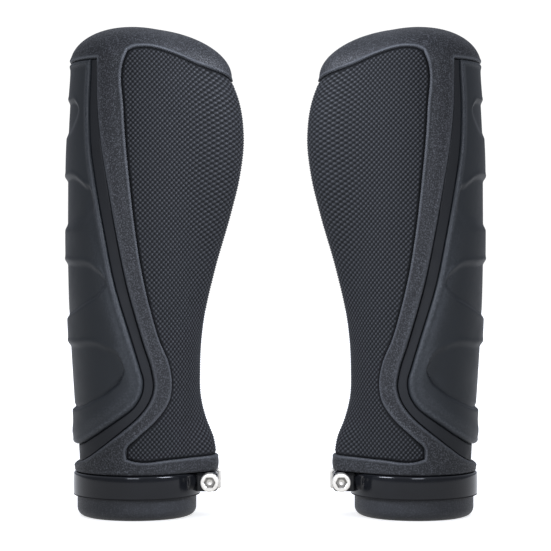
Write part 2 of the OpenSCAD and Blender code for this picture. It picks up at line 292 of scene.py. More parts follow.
def foot_point(region, s):
    """[angle, height] along the border between the skirt and what stands on it."""
    if region == "finger":
        a = FOOT_SPLIT * s
        return a, along(CHANNEL_FOOT, a)
    if region == "channel":
        a = mix(FOOT_SPLIT, FOOT_END, s)
        return a, along(CHANNEL_FOOT, a)
    if region == "band":
        return mix(FOOT_END, PALM_START, s), mix(along(CHANNEL_FOOT, FOOT_END), PALM_LOW_Z, s)
    a = mix(PALM_START, 180, s)
    return a, along(PALM_FOOT, a)


def window_point(region, s, t):
    """[angle, height] at a share s across one region and a share t up it."""
    z1 = mix(PAD_CORNER_Z, PAD_TOP_Z, t)
    z2 = mix(CHANNEL_ROW_Z, PAD_TOP_Z, t)
    z3 = mix(PALM_ROW_Z, PALM_HIGH_Z, t)
    a1, a2, a3 = along(PAD_SIDE, z1), along(CHANNEL_SIDE, z2), along(PALM_SIDE, z3)
    if region == "finger":
        drop = PAD_CORNER_Z - along(PAD_FOOT, PAD_SIDE[0][1] * s)
        return a1 * s, z1 - drop * (1 - t) ** 6
    if region == "channel":
        return mix(a1, a2, s), mix(z1, z2, s)
    if region == "band":
        return mix(a2, a3, s), mix(z2, z3, s)
    a = mix(a3, 180, s)
    u = (z3 - PALM_LOW_Z) / (PALM_HIGH_Z - PALM_LOW_Z)
    skew = z3 - mix(along(PALM_FOOT, a3), along(PALM_HEAD, a3), u)
    return a, mix(along(PALM_FOOT, a), along(PALM_HEAD, a), u) + skew * (1 - s)


class Grid:
    """Angles and heights over a whole grip, in rows from the skirt to the crown.

    columns gives the shares across each region of half a grip, and rows the shares up the
    skirt, up the strip below the windows, up the windows and over the cap.
    """

    def __init__(self, columns, rows):
        self.regions = []
        parts = {"skirt": [], "strip": [], "window": [], "cap": []}
        for name, shares in columns.items():
            last = name == list(columns)[-1]
            s = shares if last else shares[:-1]
            self.regions += [name] * (len(shares) - 1)
            parts["skirt"].append([self.skirt(name, s, r) for r in rows["skirt"][:-1]])
            parts["strip"].append([self.strip(name, s, r) for r in rows["strip"][:-1]])
            parts["window"].append([self.window(name, s, r) for r in rows["window"][:-1]])
            parts["cap"].append([self.cap(name, s, r) for r in rows["cap"]])
        half = np.concatenate([np.concatenate(p, axis=-1) for p in parts.values()], axis=0)
        back = half[:, :, 1:-1][:, :, ::-1] * np.array([-1, 1])[None, :, None]
        whole = np.concatenate([half, back], axis=-1)
        self.a, self.z = whole[:, 0], whole[:, 1]
        self.kinds = [k for k in parts for _ in range(len(rows[k]) - 1)]
        self.regions = self.regions + self.regions[::-1]

    @staticmethod
    def skirt(name, s, r):
        a, z = foot_point(name, s)
        return np.stack([a, mix(SKIRT_Z, z, r)])

    @staticmethod
    def strip(name, s, r):
        low, high = np.stack(foot_point(name, s)), np.stack(window_point(name, s, 0.0))
        return mix(low, high, r)

    @staticmethod
    def window(name, s, r):
        return np.stack(window_point(name, s, r))

    @staticmethod
    def cap(name, s, r):
        a, z = window_point(name, s, 1.0)
        edge = shoulder(a)
        u = (z - edge) / DOME_H
        start = np.where(u <= 0, u, np.arcsin(np.clip(u, 0, 1) ** (DOME_POWER / 2)) / (np.pi / 2))
        turn = np.minimum(mix(start, 1, r), 1)
        bend = np.sin(np.pi / 2 * np.clip(turn, 0, 1)) ** (2 / DOME_POWER)
        return np.stack([a, edge + DOME_H * np.where(turn <= 0, turn, bend)])

    def cells(self, wanted):
        """True for each cell whose kind of row and region wanted(kind, region) accepts."""
        return np.array([[bool(wanted(k, r)) for r in self.regions] for k in self.kinds])


def border(sides, foot, head, n=600):
    """Points in mm along a closed border on both halves, as chains: a side, a foot and a head."""
    z = np.linspace(sides[0][0], min(sides[-1][0], head[0][1]), n)
    fa = np.linspace(foot[0][0], foot[-1][0], n // 2)
    ha = np.linspace(head[0][0], head[-1][0], n // 2)
    chains = [
        surface(along(sides, z), z), surface(fa, along(foot, fa)), surface(ha, along(head, ha)),
    ]
    return chains + [c * np.array([1, -1, 1]) for c in chains]


def distance(points, chains):
    """Distance of each point to the nearest place on a border."""
    line = np.concatenate(chains)
    ends = np.concatenate([[c[0]] + list(c[:-1]) for c in chains])
    nexts = np.concatenate([list(c[1:]) + [c[-1]] for c in chains])
    tree = KDTree(len(line))
    for i, p in enumerate(line.tolist()):
        tree.insert(p, i)
    tree.balance()
    flat = points.reshape(-1, 3)
    near = np.array([tree.find(p)[1] for p in flat.tolist()])
    out = np.full(len(flat), np.inf)
    for other in (ends, nexts):
        a, b = line[near], other[near]
        ab = b - a
        t = ((flat - a) * ab).sum(1) / np.maximum((ab**2).sum(1), 1e-12)
        gap = flat - a - np.clip(t, 0, 1)[:, None] * ab
        out = np.minimum(out, np.sqrt((gap**2).sum(1)))
    return out.reshape(points.shape[:-1])


def rounded(d, r):
    """How far a rounded edge of radius r has dropped at a distance d from the edge."""
    x = np.clip(r - d, 0, r)
    return r - np.sqrt(np.maximum(r * r - x * x, 0))


def hump(x, centre, width):
    """A bell curve of height 1."""
    return np.exp(-(((x - centre) / width) ** 2))


def scallop(a, z):
    """Depth of the finger pad's scallops, with a low crest along each upper edge."""
    a = np.abs(a)
    out = np.zeros(np.broadcast(a, z).shape)
    for top, low, depth, lower_groove in SCALLOPS:
        end = top[-1][0]
        zt, zl = along(top, a), along(low, a)
        down, up = zt - z, z - zl
        sharp_edge = lower_groove > 0.1
        tip = smooth(0, TIP_FADE * (0.6 if sharp_edge else 1), zt - zl) * (a < end)
        soft = 0.7 if sharp_edge else mix(1, 2.4, smooth(10, 45, a))
        out += depth * tip * smooth(-0.5, 1.2, down) * smooth(-0.7 * soft, 1.5 * soft, up)
        out -= 0.12 * tip * hump(down, -0.7, 0.6)
        out += lower_groove * tip * hump(up, 0.4, 0.6)
    return out


def make_object(name, shape, side):
    """A mesh from a shape in mm on a grip's own axis, put on the right or the left axis."""
    points, faces, attributes = shape
    p = np.array(points, float).reshape(-1, 3)
    if side == "left":
        p = p * np.array([-1, 1, 1])
        faces = [f[::-1] for f in faces]
    p = p * MM + np.array([AXIS_X[side], 0, 0])
    mesh = bpy.data.meshes.new(name)
    mesh.from_pydata(p.tolist(), [], faces)
    mesh.update()
    for key, values in attributes.items():
        attribute = mesh.attributes.new(key, "FLOAT", "POINT")
        attribute.data.foreach_set("value", np.asarray(values, np.float32).ravel())
    obj = bpy.data.objects.new(name, mesh)
    bpy.context.scene.collection.objects.link(obj)
    return obj


def finish_object(obj, material, body, node, sharp=35):
    """Shading and material of an object, which rides a body in place of a CAD node's look."""
    mesh = obj.data
    mesh.materials.append(material)
    mesh.shade_smooth()
    mesh.set_sharp_from_angle(angle=math.radians(sharp))
    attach(obj, body)
    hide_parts(node)
    return obj


def skin_faces(cells, columns):
    """Quads of a closed skin over the cells: outside, inside and the walls between them."""
    rows = cells.shape[0]
    inner = (rows + 1) * columns
    faces = []

    def at(i, j):
        return i * columns + j % columns

    def filled(i, j):
        return 0 <= i < rows and cells[i, j % columns]

    for i, j in zip(*np.nonzero(cells)):
        i, j = int(i), int(j)
        a, b, c, d = at(i, j), at(i, j + 1), at(i + 1, j + 1), at(i + 1, j)
        faces.append((a, b, c, d))
        faces.append((d + inner, c + inner, b + inner, a + inner))
        if not filled(i - 1, j):
            faces.append((b, a, a + inner, b + inner))
        if not filled(i + 1, j) and i + 1 < rows:
            faces.append((d, c, c + inner, d + inner))
        if not filled(i, j + 1):
            faces.append((c, b, b + inner, c + inner))
        if not filled(i, j - 1):
            faces.append((a, d, d + inner, a + inner))
    return faces


def merged(points, faces, attributes=None, tolerance=1e-5):
    """Points joined where they coincide, with faces of no area and unused points dropped."""
    keys = np.round(points / tolerance).astype(np.int64)
    _, first, index = np.unique(keys, axis=0, return_index=True, return_inverse=True)
    index = index.ravel()
    out = []
    for f in faces:
        g = []
        for v in f:
            k = int(index[v])
            if not g or (g[-1] != k):
                g.append(k)
        if len(g) > 1 and g[0] == g[-1]:
            g.pop()
        if len(g) >= 3 and len(set(g)) == len(g):
            out.append(g)
    used = np.unique(np.concatenate([np.array(f) for f in out]))
    new = np.full(len(first), -1)
    new[used] = np.arange(len(used))
    out = [[int(new[v]) for v in f] for f in out]
    attributes = {k: np.asarray(v).ravel()[first][used] for k, v in (attributes or {}).items()}
    return points[first][used], out, attributes


def skin_shape(grid, wanted, top_depth, bottom_depth, attributes):
    """A closed skin over some cells of a grid, between two depths given for each point."""
    cells = grid.cells(wanted)
    top = surface(grid.a, grid.z, top_depth)
    bottom = surface(grid.a, grid.z, bottom_depth)
    columns = grid.a.shape[1]
    points = np.concatenate([top.reshape(-1, 3), bottom.reshape(-1, 3)])
    values = {
        k: np.concatenate([np.ravel(v), np.zeros(grid.a.size)]) for k, v in attributes.items()
    }
    return merged(points, skin_faces(cells, columns), values)


# ---------------------------------------------------------------- pieces

def frame_shell():
    """The grained frame: skirt, the band down each side, and the end cap, in one piece."""
    grid = Grid(
        {"finger": graded(26, 0.5), "channel": graded(10), "band": graded(26), "palm": graded(56, 0.6)},
        {"skirt": graded(16), "strip": graded(12, 0.5), "window": graded(230, 0.5), "cap": graded(44, 0.4)},
    )
    points = surface(grid.a, grid.z)
    to_palm = distance(points, border(PALM_SIDE, PALM_FOOT, PALM_HEAD))
    channel_sides = border(CHANNEL_SIDE, CHANNEL_FOOT, CHANNEL_HEAD)
    to_channel = distance(points, channel_sides)
    to_skirt = np.maximum(grid.z - SKIRT_Z, 0)
    depth = rounded(to_palm, 0.3) - 0.16 * hump(to_palm, 0.5, 0.3)
    depth = depth + rounded(to_channel, 0.5) - 0.14 * hump(to_channel, 0.75, 0.4)
    depth = depth + rounded(to_skirt, 0.45)
    # painted highlight: this mask lightens the frame's base colour along the rims of the palm window and
    # the channel, twice as strongly along the cap's lower edge
    edge_highlight = hump(np.minimum(to_palm, to_channel), 0.4, 0.35) * mix(1, 2, smooth(121, 122.5, grid.z))
    return skin_shape(
        grid,
        lambda kind, region: kind in ("skirt", "cap") or region == "band",
        depth, CHANNEL_DEPTH, {"edge_highlight": edge_highlight},
    )


def finger_pad():
    """The smooth finger pad, with its leaf-shaped scallops and a raised rounded edge."""
    grid = Grid(
        {"finger": graded_end(60, 0.55), "channel": graded(1), "band": graded(1), "palm": graded(1)},
        {"skirt": graded(1), "strip": graded(1), "window": graded(330, 0.12), "cap": graded(1)},
    )
    points = surface(grid.a, grid.z)
    edge = distance(points, border(PAD_SIDE, PAD_FOOT, PAD_HEAD))
    ridge = 0.2 * hump(edge, 0.95, 0.6) + 0.4 * hump(edge, 3.2, 2.2) * smooth(85, 60, grid.z)
    depth = FINGER_SINK + rounded(edge, 0.7) - ridge + scallop(grid.a, grid.z) * smooth(0.6, 2.2, edge)
    # painted highlight: this mask lightens the base colour along the raised edge, with a broader band below
    # mid-height
    edge_highlight = hump(edge, 0.9, 0.55) + 0.5 * hump(edge, 3, 2) * smooth(95, 60, grid.z)
    return skin_shape(
        grid,
        lambda kind, region: kind == "window" and region == "finger",
        depth, CHANNEL_DEPTH, {"edge_highlight": edge_highlight},
    )


def under_layer():
    """The layer under the pads; it shows as a smooth strip between two grooves."""
    grid = Grid(
        {"finger": graded(12, 0.3), "channel": graded(22), "band": graded(6), "palm": graded(24, 0.3)},
        {"skirt": graded(3), "strip": graded(24), "window": graded(220, 0.2), "cap": graded(16, 0.3)},
    )
    points = surface(grid.a, grid.z)
    to_pad = distance(points, border(PAD_SIDE, PAD_FOOT, PAD_HEAD))
    to_frame = distance(points, border(CHANNEL_SIDE, CHANNEL_FOOT, CHANNEL_HEAD))
    shown = np.isin(np.array(grid.regions), ["finger", "channel"])
    at_column = (shown | np.roll(shown, 1))[None, :]
    kinds = np.array(grid.kinds + ["cap"])[:, None]
    inside = at_column & ((kinds == "strip") | ((kinds == "window") & (to_pad > 0)))
    crest = smooth(0, 0.45, to_pad) * smooth(0, 0.4, to_frame)
    crest = mix(0.3, 1, crest) * smooth(0, 45, np.abs(grid.a))
    crest = np.where(inside & ~hidden_below_pad(grid), crest, 0)
    depth = CHANNEL_DEPTH + 0.05 - STRIP_RISE * crest
    outside = surface(grid.a, grid.z, depth)
    columns = grid.a.shape[1]
    turn = np.arctan2(outside[0, :, 1], outside[0, :, 0])
    inner = []
    for r, z in ((SEAT_R, SKIRT_Z), (SEAT_R, SEAT_TOP_Z), (SLEEVE_R, SEAT_TOP_Z), (SLEEVE_R, UNDER_TOP_Z)):
        inner.append(np.stack([r * np.cos(turn), r * np.sin(turn), np.full(columns, z)], -1))
    loops = np.concatenate([outside[::-1], np.array(inner)])
    points, faces = loft_points(loops, cap_start=True, cap_end=True)
    return merged(points, faces, {})


def hidden_below_pad(grid):
    """True at each point of a grid that lies under the finger pad."""
    limit = np.where(grid.z >= PAD_CORNER_Z, along(PAD_SIDE, grid.z), 0)
    foot = along(PAD_FOOT, np.abs(grid.a))
    low = (grid.z < PAD_CORNER_Z) & (np.abs(grid.a) < PAD_SIDE[0][1]) & (grid.z > foot)
    return (np.abs(grid.a) < limit) | low


def loft_points(loops, cap_start=False, cap_end=False):
    """Points and faces through loops of equal length, each closed on itself."""
    rows, n = loops.shape[:2]
    points = loops.reshape(-1, 3)
    faces = []
    for i in range(rows - 1):
        for j in range(n):
            k = (j + 1) % n
            faces.append((i * n + k, i * n + j, (i + 1) * n + j, (i + 1) * n + k))
    if cap_start:
        faces.append(tuple(range(n)))
    if cap_end:
        faces.append(tuple(range(rows * n - 1, (rows - 1) * n - 1, -1)))
    return points, faces


def knurl_turn(a, z):
    """Angle of a surface point round the knurl's own centre, from the wing."""
    p = surface(a, z)
    return np.arctan2(-p[..., 1], p[..., 0] - KNURL_CENTRE_X)


def palm_pad():
    """The knurled palm pad: a lattice of raised dots, cut off smoothly along the border."""
    dz = KNURL_ROW / KNURL_STEPS
    dt = KNURL_TURN / KNURL_STEPS
    low_row = math.floor(min(z for _, z in PALM_FOOT) / dz) - 1
    high_row = math.ceil(max(z for _, z in PALM_HEAD) / dz) + 2
    z_rows = np.arange(low_row, high_row + 1) * dz
    a_fine = np.linspace(PALM_START - 6, 180, 700)
    reach = int(knurl_turn(80.0, 100.0) / dt) + 6
    columns = np.arange(0, reach + 1)
    table = knurl_turn(a_fine[None], z_rows[:, None])
    angle = np.array([np.interp(columns * dt, t[::-1], a_fine[::-1]) for t in table])
    at_row, pick = angle, np.arange(len(columns))[None]
    for _ in range(3):
        height = np.clip(z_rows[:, None], along(PALM_FOOT, angle), along(PALM_HEAD, angle))
        # angle of each column at that height, between the two rows of the table round it
        row = np.clip((height - z_rows[0]) / dz, 0, len(z_rows) - 1.001)
        low = row.astype(int)
        angle = mix(at_row[low, pick], at_row[low + 1, pick], row - low)
    angle = np.maximum(angle, along(PALM_SIDE, height))
    height = np.clip(z_rows[:, None], along(PALM_FOOT, angle), along(PALM_HEAD, angle))
    turn = knurl_turn(angle, height)
    angle = np.concatenate([-angle[:, :0:-1], angle], axis=1)
    angle[:, : reach] = -np.abs(angle[:, : reach])
    height = np.concatenate([height[:, :0:-1], height], axis=1)
    turn = np.concatenate([-turn[:, :0:-1], turn], axis=1)
    # the wing's ridge is at angle 180 on both halves
    ground = surface(angle, height)
    edge = distance(ground, border(PALM_SIDE, PALM_FOOT, PALM_HEAD))
    dot = (1 + np.cos(2 * np.pi * turn / KNURL_TURN) * np.cos(2 * np.pi * height / KNURL_ROW)) / 2
    # painted shade: the dots fade out within 0.9 mm of the border, so the base there goes near black as a
    # dark groove line; the dots also flatten there
    dot = dot**1.9 * smooth(0.35, 0.9, edge)
    depth = PALM_SINK + 0.14 + rounded(edge, 0.4) - KNURL_HEIGHT * (dot - 0.3)
    top = surface(angle, height, depth)
    rows, cols = angle.shape
    index = np.arange(rows * cols).reshape(rows, cols)
    quads = np.stack([index[:-1, :-1], index[:-1, 1:], index[1:, 1:], index[1:, :-1]], -1)
    faces = quads.reshape(-1, 4).tolist()
    # points are joined by their place on the surface, before the dots are raised
    marks = np.stack([turn.ravel() * PLAN_SCALE, height.ravel(), np.zeros(turn.size)], -1)
    values = {"dot": dot, "a": angle, "z": height, "u": turn}
    values |= {"px": top[..., 0], "py": top[..., 1], "pz": top[..., 2]}
    _, faces, values = merged(marks, faces, values, 1e-4)
    points = np.stack([values["px"], values["py"], values["pz"]], -1)
    return closed_below(points, [f[::-1] for f in faces], values)


def closed_below(points, faces, values):
    """Adds a wall below the edge of an open skin, and a plain inner face."""
    edges = {}
    for f in faces:
        for v, w in zip(f, f[1:] + f[:1]):
            if (w, v) in edges:
                del edges[(w, v)]
            else:
                edges[(v, w)] = True
    follow = {v: w for v, w in edges}
    start = next(iter(follow))
    loop = [start]
    while follow[loop[-1]] != start:
        loop.append(follow[loop[-1]])
    a, z, u = values["a"], values["z"], values["u"]
    outline = [Vector((u[v] * PLAN_SCALE, z[v])) for v in loop]
    limit = max(abs(u[v]) for v in loop)
    inside = [
        Vector((x, y))
        for x in np.arange(-limit * PLAN_SCALE, limit * PLAN_SCALE, 1.5)
        for y in np.arange(min(z) + 0.7, max(z), 1.5)
    ]
    n = len(loop)
    verts, _, tris, origins, _, _ = delaunay_2d_cdt(
        outline + inside, [], [list(range(n))], 1, 1e-6
    )
    flat = np.array([v[:] for v in verts])
    heights = np.arange(min(z) - 1, max(z) + 1, 0.5)
    table_a = np.linspace(78, 180, 80)
    table_u = knurl_turn(table_a[None], heights[:, None])
    rows = np.clip(np.rint((flat[:, 1] - heights[0]) / 0.5).astype(int), 0, len(heights) - 1)
    below_a = np.array([
        np.interp(abs(x) / PLAN_SCALE, table_u[k][::-1], table_a[::-1]) for x, k in zip(flat[:, 0], rows)
    ]) * np.where(flat[:, 0] < 0, -1, 1)
    below_z = flat[:, 1].copy()
    for k in range(len(verts)):
        source = [o for o in origins[k] if o < n]
        if source:
            below_a[k], below_z[k] = a[loop[source[0]]], z[loop[source[0]]]
    below = surface(below_a, below_z, CHANNEL_DEPTH)
    place = {k: len(points) + k for k in range(len(verts))}
    bottom_of = {}
    for k in range(len(verts)):
        for o in origins[k]:
            if o < n:
                bottom_of[loop[o]] = place[k]
    out = list(faces)
    for f in tris:
        g = [place[v] for v in f]
        out.append(g)
    for v, w in zip(loop, loop[1:] + loop[:1]):
        if bottom_of[v] != bottom_of[w]:
            out.append([w, v, bottom_of[v], bottom_of[w]])
    points = np.concatenate([points, np.array(below).reshape(-1, 3)])
    dots = np.concatenate([values["dot"], np.zeros(len(below))])
    return points, out, {"dot": dots}


def clamp_ring():
    """The split clamp ring with its two ears, each with a clearance hole."""
    inner = SEAT_R + 0.05
    z0, z1 = RING_Z, RING_Z + RING_H
    profile = [(inner, z0 + 0.3), (inner + 0.3, z0)]
    e = 0.15
    for t in np.linspace(0, 1, 7):
        b = math.radians(-90 + 90 * t)
        profile.append((RING_R - 0.1 - e + e * math.cos(b), z0 + e + e * math.sin(b)))
    e = 0.7
    for z in (z0 + 0.3, z0 + 0.4, z0 + 1.2, z0 + 2.2, z0 + 3.2, z0 + 4.2, z0 + 5.2):
        profile.append((RING_R - 0.1 + 0.1 * math.sin(math.pi * (z - z0) / RING_H), z))
    for t in np.linspace(0, 1, 7):
        b = math.radians(90 * t)
        profile.append((RING_R - 0.1 - e + e * math.cos(b), z1 - e + e * math.sin(b)))
    profile += [(inner + 0.3, z1), (inner, z1 - 0.3)]
    profile = np.array(profile)
    half = math.asin(EAR_GAP / 2 / inner)
    turns = np.linspace(half, 2 * math.pi - half, 241)
    loops = np.stack([
        np.outer(np.cos(turns), profile[:, 0]),
        np.outer(np.sin(turns), profile[:, 0]),
        np.tile(profile[:, 1], (len(turns), 1)),
    ], -1)
    # the ends are flat faces on each side of the gap
    for k, sign in ((0, 1), (-1, -1)):
        loops[k, :, 1] = sign * EAR_GAP / 2
        loops[k, :, 0] = np.sqrt(profile[:, 0] ** 2 - (EAR_GAP / 2) ** 2)
    points, faces = loft_points(loops, True, True)
    # painted shadow line: the lowest 0.35 mm of the ring is marked for a near-black base and a rough finish
    low = loops[..., 2].ravel() < z0 + 0.35
    parts = [(points, faces)]
    for sign in (-1, 1):
        y0, y1 = sorted((sign * EAR_GAP / 2, sign * EAR_FACE))
        parts.append(ear_points(y0, y1))
    points, faces, _ = joined(parts)
    rough_edge_and_painted_shadow = np.zeros(len(points))
    rough_edge_and_painted_shadow[: len(low)] = low
    return points, faces, {"rough_edge_and_painted_shadow": rough_edge_and_painted_shadow}


def ear_points(y0, y1):
    """One ear: a plate with rounded corners and edges, with a hole for the screw."""
    n = 96
    bevel = 0.4
    turns = np.arange(n) * 2 * np.pi / n
    direction = np.stack([np.cos(turns), np.sin(turns)], -1)

    def outline(inset):
        x_low = SEAT_R + 1 + inset
        steps = np.linspace(0, 12, 4000)
        out = []
        for d in direction:
            x = SCREW_X + steps * d[0]
            z = steps * d[1]
            past_x = np.maximum(x - EAR_END + EAR_ROUND, 0)
            past_z = np.maximum(np.abs(z) - EAR_HALF + EAR_ROUND, 0)
            inside = (np.hypot(past_x, past_z) < EAR_ROUND - inset) & (x > x_low)
            k = np.nonzero(inside)[0].max()
            out.append((x[k], SCREW_Z + z[k]))
        return np.array(out)

    def hole(r):
        return np.stack([SCREW_X + r * direction[:, 0], SCREW_Z + r * direction[:, 1]], -1)

    hole_r = SCREW_R + 0.15
    sections = [(hole(hole_r), y0 + 0.15), (hole(hole_r + 0.15), y0)]
    for t in np.linspace(0, 1, 5):
        b = math.radians(90 * t)
        sections.append((outline(bevel * (1 - math.sin(b))), y0 + bevel * (1 - math.cos(b))))
    for t in np.linspace(0, 1, 5):
        b = math.radians(90 * t)
        sections.append((outline(bevel * (1 - math.cos(b))), y1 - bevel * (1 - math.sin(b))))
    sections += [(hole(hole_r + 0.15), y1), (hole(hole_r), y1 - 0.15), (hole(hole_r), y0 + 0.15)]
    loops = np.array([
        np.stack([s[:, 0], np.full(n, y), s[:, 1]], -1) for s, y in sections
    ])
    return loft_points(loops)


def joined(parts):
    """Several sets of points and faces as one, with no attributes."""
    points, faces, start = [], [], 0
    for p, f in parts:
        points.append(p)
        faces += [[v + start for v in g] for g in f]
        start += len(p)
    return np.concatenate(points), faces, {}


def screw_loops(sections, n):
    """Loops round the screw's axis: each section gives a radius for each turn, and a place y."""
    turns = np.arange(n) * 2 * np.pi / n
    loops = []
    for r, y in sections:
        r = np.broadcast_to(r, turns.shape)
        loops.append(np.stack([
            SCREW_X + r * np.cos(turns), np.full(n, y), SCREW_Z + r * np.sin(turns)
        ], -1))
    return np.array(loops)


def clamp_screw(thread):
    """Socket cap screw: knurled head with a hexagon socket, and a threaded shank."""
    n = 216
    turns = np.arange(n) * 2 * np.pi / n
    knurl = 0.05 * (1 - np.abs(np.cos(18 * turns)))
    face = -EAR_FACE - 0.05
    top = face - HEAD_H
    hexagon = SOCKET_AF / 2 / np.cos(((turns % (np.pi / 3)) - np.pi / 6))
    sections = [(SCREW_R, face), (HEAD_R - 0.25, face), (HEAD_R - 0.08, face - 0.12)]
    sections += [(HEAD_R - 0.02 - knurl, y) for y in np.linspace(face - 0.22, top + 0.5, 6)]
    for t in np.linspace(0.15, 1, 6):
        b = math.radians(90 * t)
        sections.append((HEAD_R - 0.3 + 0.26 * math.cos(b), top + 0.3 - 0.3 * math.sin(b)))
    sections += [(mix(hexagon, HEAD_R - 0.3, 0.25) + 0.04, top), (hexagon + 0.03, top + 0.2)]
    sections += [(0.92 * hexagon, top + SOCKET_DEPTH), (0.75, top + SOCKET_DEPTH)]
    sections += [(0.7, top + SOCKET_DEPTH), (0.01, top + SOCKET_DEPTH + 0.3)]
    head, head_faces = loft_points(screw_loops(sections, n), cap_end=True)
    # painted shade: the rows inside the hexagon socket are marked for a darker base
    socket_shade = np.zeros((len(sections), n))
    socket_shade[-5:-2] = 1
    rows = np.arange(face - 0.01, SCREW_END, THREAD_PITCH / 8)
    m = 48
    around = np.arange(m) / m
    shank = []
    for y in rows:
        phase = (y / THREAD_PITCH + thread * around) % 1
        groove = 0.3 * THREAD_PITCH * (1 - np.abs(2 * phase - 1))
        run_out = min(1.0, (SCREW_END - y) / 0.4)
        shank.append((SCREW_R - groove - 0.25 * (1 - run_out), y))
    body, body_faces = loft_points(screw_loops(shank, m), True, True)
    points, faces, _ = joined([(head, [f[::-1] for f in head_faces]), (body, body_faces)])
    socket = np.concatenate([socket_shade.ravel(), np.zeros(len(body))])
    return points, faces, {"socket": socket}


def clamp_nut():
    """Square nut with chamfered corners and a threaded hole."""
    n = 96
    turns = np.arange(n) * 2 * np.pi / n
    quarter = (turns + np.pi / 4) % (np.pi / 2) - np.pi / 4
    y0, y1 = NUT_Y, NUT_Y + NUT_T

    def square(inset, cut):
        half = NUT_AF / 2 - inset
        return np.minimum(half / np.cos(quarter), cut)

    hole = SCREW_R + 0.05
    sections = [
        (hole + 0.2, y0), (square(0.35, 3.2), y0), (square(0.0, 3.55), y0 + 0.2),
        (square(0.0, 3.75), y0 + 0.4), (square(0.0, 3.75), y1 - 0.45), (square(0.0, 3.5), y1 - 0.22),
        (square(0.3, 3.1), y1), (hole + 0.25, y1), (hole, y1 - 0.25), (hole, y0 + 0.2),
        (hole + 0.2, y0),
    ]
    points, faces = loft_points(screw_loops(sections, n))
    return points, faces, {}


# ---------------------------------------------------------------- materials

class Nodes:
    """A short way to write a material's nodes."""

    def __init__(self, name):
        self.material = bpy.data.materials.new(name)
        self.material.use_nodes = True
        self.tree = self.material.node_tree
        self.shader = self.tree.nodes["Principled BSDF"]
        self.coord = self.tree.nodes.new("ShaderNodeTexCoord").outputs["Object"]

    def noise(self, size_mm, detail=3, roughness=0.5, stretch=(1, 1, 1)):
        mapping = self.tree.nodes.new("ShaderNodeMapping")
        mapping.inputs["Scale"].default_value = [1000 / size_mm * s for s in stretch]
        self.tree.links.new(self.coord, mapping.inputs["Vector"])
        noise = self.tree.nodes.new("ShaderNodeTexNoise")
        noise.inputs["Scale"].default_value = 1
        noise.inputs["Detail"].default_value = detail
        noise.inputs["Roughness"].default_value = roughness
        self.tree.links.new(mapping.outputs["Vector"], noise.inputs["Vector"])
        return noise.outputs["Fac"]

    def attribute(self, name):
        node = self.tree.nodes.new("ShaderNodeAttribute")
        node.attribute_name = name
        return node.outputs["Fac"]

    def ramp(self, value, stops):
        """A colour ramp; each stop is (position, colour or grey)."""
        ramp = self.tree.nodes.new("ShaderNodeValToRGB")
        elements = ramp.color_ramp.elements
        while len(elements) < len(stops):
            elements.new(0.5)
        for element, (position, colour) in zip(elements, stops):
            element.position = position
            if isinstance(colour, (int, float)):
                colour = (colour, colour, colour)
            element.color = (*colour, 1)
        self.tree.links.new(value, ramp.inputs["Fac"])
        return ramp.outputs["Color"]

    def math(self, operation, a, b):
        node = self.tree.nodes.new("ShaderNodeMath")
        node.operation = operation
        for socket, value in zip(node.inputs, (a, b)):
            if isinstance(value, (int, float)):
                socket.default_value = value
            else:
                self.tree.links.new(value, socket)
        return node.outputs["Value"]

    def blend(self, factor, a, b, kind="MIX"):
        node = self.tree.nodes.new("ShaderNodeMix")
        node.data_type = "RGBA"
        node.blend_type = kind
        for socket, value in ((node.inputs[0], factor), (node.inputs[6], a), (node.inputs[7], b)):
            if isinstance(value, (int, float)):
                socket.default_value = value
            elif isinstance(value, tuple):
                socket.default_value = (*value, 1)
            else:
                self.tree.links.new(value, socket)
        return node.outputs[2]

    def bump(self, height, depth_mm, strength=1.0, normal=None):
        node = self.tree.nodes.new("ShaderNodeBump")
        node.inputs["Distance"].default_value = depth_mm * MM
        node.inputs["Strength"].default_value = strength
        self.tree.links.new(height, node.inputs["Height"])
        if normal is not None:
            self.tree.links.new(normal, node.inputs["Normal"])
        return node.outputs["Normal"]

    def set(self, **values):
        for name, value in values.items():
            socket = self.shader.inputs[name.replace("_", " ")]
            if isinstance(value, (int, float)):
                socket.default_value = value
            elif isinstance(value, tuple):
                socket.default_value = (*value, 1)
            else:
                self.tree.links.new(value, socket)


def frame_rubber():
    """Matte black rubber with a fine sparkling grain, and a painted highlight that lightens its rims."""
    n = Nodes("frame_rubber_grained")
    grain = n.noise(0.37, 3, 0.6)
    mottle = n.noise(6, 3)
    base = n.blend(mottle, (0.0022, 0.0025, 0.0031), (0.0046, 0.005, 0.006))
    base = n.blend(n.ramp(grain, [(0.49, 0.0), (0.66, 1.0)]), base, (0.029, 0.0306, 0.034))
    # painted highlight: the base goes lighter where the rim mask is high
    base = n.blend(n.math("MULTIPLY", n.attribute("edge_highlight"), 0.45), base, (0.042, 0.045, 0.05))
    n.set(Base_Color=base, Roughness=n.ramp(grain, [(0.3, 0.72), (0.7, 0.48)]))
    n.set(Specular_IOR_Level=0.22)
    n.set(Normal=n.bump(grain, 0.1, 0.9, n.bump(n.noise(1.3, 2), 0.03)))
    return n.material


def palm_rubber():
    """Black rubber, lighter on top of the knurl's dots and near black in the ground between them, with
    painted shade along the border where the dots fade out.
    """
    n = Nodes("palm_rubber_knurled")
    dot = n.attribute("dot")
    mottle = n.noise(5, 3)
    # darker in the ground, lighter on the dots' tops; where the dots fade out along the border this gives
    # painted shade
    base = n.ramp(dot, [(0.12, (0.0006, 0.0007, 0.0009)), (0.8, (0.025, 0.0263, 0.029))])
    base = n.blend(mottle, base, n.blend(0.25, base, (0.012, 0.013, 0.015)))
    n.set(Base_Color=base, Roughness=n.ramp(dot, [(0.1, 0.85), (0.8, 0.5)]))
    n.set(Specular_IOR_Level=0.12)
    n.set(Normal=n.bump(n.noise(0.15, 2), 0.012, 0.7))
    return n.material


